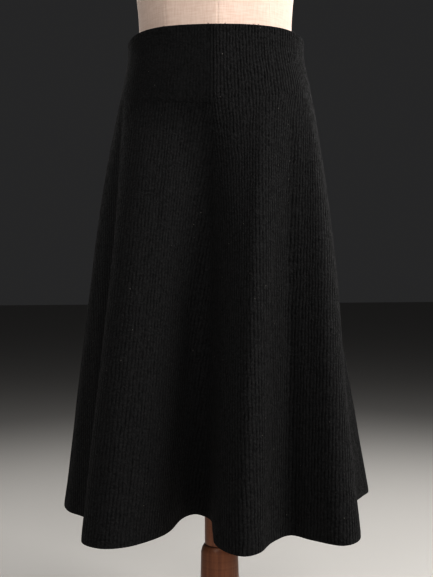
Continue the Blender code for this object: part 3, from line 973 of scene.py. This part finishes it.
# The form's turned pieces: a cap on the neck, a pole up through the skirt, the sleeve that the pole slides
# in, and a round base. Each is turned from brown-stained beech, sanded, and given a satin lacquer. A
# profile's rows are its radius and its height, from the foot up.
NECK_CAP_Z = 1.4523
NECK_CAP_PROFILE = (
    (0.0530, 0.000),
    (0.0565, 0.003),
    (0.0565, 0.011),
    (0.0520, 0.016),
    (0.0200, 0.019),
)
POLE_PROFILE = ((0.0220, 0.2428), (0.0220, 0.7347))
SLEEVE_PROFILE = (
    (0.0460, 0.0303),
    (0.0460, 0.0380),
    (0.0400, 0.0460),
    (0.0330, 0.0540),
    (0.0310, 0.0900),
    (0.0290, 0.1900),
    (0.0278, 0.2315),
    (0.0262, 0.2375),
    (0.0232, 0.2425),
)
BASE_PROFILE = (
    (0.178, 0.000),
    (0.180, 0.002),
    (0.180, 0.014),
    (0.174, 0.021),
    (0.162, 0.0255),
    (0.060, 0.0300),
)
TURNED_STEPS = 96
START_SIZE = 0.001
WELD_DISTANCE = 0.00001
CORNER_SIZE = 0.0012
CORNER_DEGREES = 20
TURNED_FOLD_DEGREES = 35

# Beech, stained brown and lacquered: a straight grain with short dark flecks, faint rings left by the
# turning tool, both drawn about three times too coarse so that they show, stain that lies deeper in some
# bands than others, and a thin satin coat that gives soft highlights along the turned edges.
STAIN_LIGHT = "#ac7655"
STAIN_DARK = "#875740"
GRAIN_MM = 3.0
GRAIN_RUN_MM = 120.0
FLECK_MM = 1.2
FLECK_RUN_MM = 9.0
TURNING_MM = 1.8

beech, beech_tree, beech_shader = new_material("stained_lacquered_beech")
beech_place = add_node(beech_tree, "ShaderNodeTexCoord").outputs["Object"]
beech_run = add_node(
    beech_tree,
    "ShaderNodeMapping",
    {"Scale": (1000 / GRAIN_MM, 1000 / GRAIN_MM, 1000 / GRAIN_RUN_MM)},
    {"Vector": beech_place},
)
beech_fleck_run = add_node(
    beech_tree,
    "ShaderNodeMapping",
    {"Scale": (1000 / FLECK_MM, 1000 / FLECK_MM, 1000 / FLECK_RUN_MM)},
    {"Vector": beech_place},
)
beech_grain = add_node(
    beech_tree,
    "ShaderNodeTexNoise",
    {"Scale": 0.6, "Detail": 4.0, "Distortion": 0.4},
    {"Vector": beech_run.outputs["Vector"]},
)
beech_fleck = add_node(
    beech_tree,
    "ShaderNodeTexNoise",
    {"Scale": 0.8, "Detail": 1.0},
    {"Vector": beech_fleck_run.outputs["Vector"]},
)
beech_ring_run = add_node(
    beech_tree, "ShaderNodeMapping", {"Scale": (6.0, 6.0, 1000 / TURNING_MM)}, {"Vector": beech_place}
)
beech_rings = add_node(
    beech_tree,
    "ShaderNodeTexNoise",
    {"Scale": 0.5, "Detail": 2.0},
    {"Vector": beech_ring_run.outputs["Vector"]},
)
beech_marks = add_node(
    beech_tree,
    "ShaderNodeMath",
    {"operation": "MULTIPLY_ADD", 1: 0.45},
    {0: beech_rings.outputs["Fac"], 2: beech_grain.outputs["Fac"]},
)
beech_share = add_node(
    beech_tree,
    "ShaderNodeMapRange",
    {"From Min": 0.50, "From Max": 0.95},
    {"Value": beech_marks.outputs["Value"]},
)
beech_colour = add_node(
    beech_tree,
    "ShaderNodeMix",
    {"data_type": "RGBA", 6: linear(STAIN_DARK), 7: linear(STAIN_LIGHT)},
    {0: beech_share.outputs["Result"]},
)
beech_flecked_share = add_node(
    beech_tree,
    "ShaderNodeMapRange",
    {"From Min": 0.55, "From Max": 0.75, "To Max": 0.5},
    {"Value": beech_fleck.outputs["Fac"]},
)
beech_flecked = add_node(
    beech_tree,
    "ShaderNodeMix",
    {"data_type": "RGBA", 7: linear(STAIN_DARK)},
    {0: beech_flecked_share.outputs["Result"], 6: beech_colour.outputs[2]},
)
beech_bump = add_node(
    beech_tree,
    "ShaderNodeBump",
    {"Strength": 0.15, "Distance": 0.0003},
    {"Height": beech_marks.outputs["Value"]},
)
beech_tree.links.new(beech_flecked.outputs[2], beech_shader.inputs["Base Color"])
beech_tree.links.new(beech_bump.outputs["Normal"], beech_shader.inputs["Normal"])
beech_shader.inputs["Roughness"].default_value = 0.5
beech_shader.inputs["Sheen Weight"].default_value = 0.6
beech_shader.inputs["Sheen Roughness"].default_value = 0.3
beech_shader.inputs["Coat Weight"].default_value = 0.20
beech_shader.inputs["Coat Roughness"].default_value = 0.3


def turn(name, profile, node, lift=0.0, shift=0.0):
    """Turns a piece: its profile drawn from the axis out and back, spun once round, its corners eased."""
    bpy.ops.object.select_all(action="DESELECT")
    bpy.ops.mesh.primitive_plane_add(size=START_SIZE)
    piece = bpy.context.object
    piece.name = name
    bpy.ops.object.mode_set(mode="EDIT")
    bpy.ops.mesh.select_all(action="SELECT")
    bpy.ops.mesh.merge(type="CENTER")
    bpy.ops.transform.translate(value=(0, 0, lift + profile[0][1]))
    line = [(0.0, profile[0][1])] + list(profile) + [(0.0, profile[-1][1])]
    for (r0, z0), (r1, z1) in zip(line, line[1:]):
        bpy.ops.mesh.extrude_region_move(TRANSFORM_OT_translate={"value": (r1 - r0, 0, z1 - z0)})
    bpy.ops.mesh.select_all(action="SELECT")
    bpy.ops.mesh.spin(steps=TURNED_STEPS, angle=2 * pi, center=(0, 0, 0), axis=(0, 0, 1))
    bpy.ops.mesh.select_all(action="SELECT")
    bpy.ops.mesh.remove_doubles(threshold=WELD_DISTANCE)
    bpy.ops.mesh.normals_make_consistent(inside=False)
    bpy.ops.transform.translate(value=(0, shift, 0))
    bpy.ops.object.mode_set(mode="OBJECT")
    corners = piece.modifiers.new("corners", "BEVEL")
    corners.width = CORNER_SIZE
    corners.segments = 3
    corners.limit_method = "ANGLE"
    corners.angle_limit = radians(CORNER_DEGREES)
    bpy.ops.object.modifier_apply(modifier=corners.name)
    bpy.ops.object.shade_smooth_by_angle(angle=radians(TURNED_FOLD_DEGREES))
    piece.data.materials.append(beech)
    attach(piece, "root")
    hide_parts(node)


turn("neck_cap_beech", NECK_CAP_PROFILE, "form_neck_cap", NECK_CAP_Z, FORM_SECTIONS[-1][3])
turn("pole_beech", POLE_PROFILE, "stand_pole")
turn("sleeve_beech", SLEEVE_PROFILE, "stand_sleeve")
turn("base_beech", BASE_PROFILE, "stand_base")
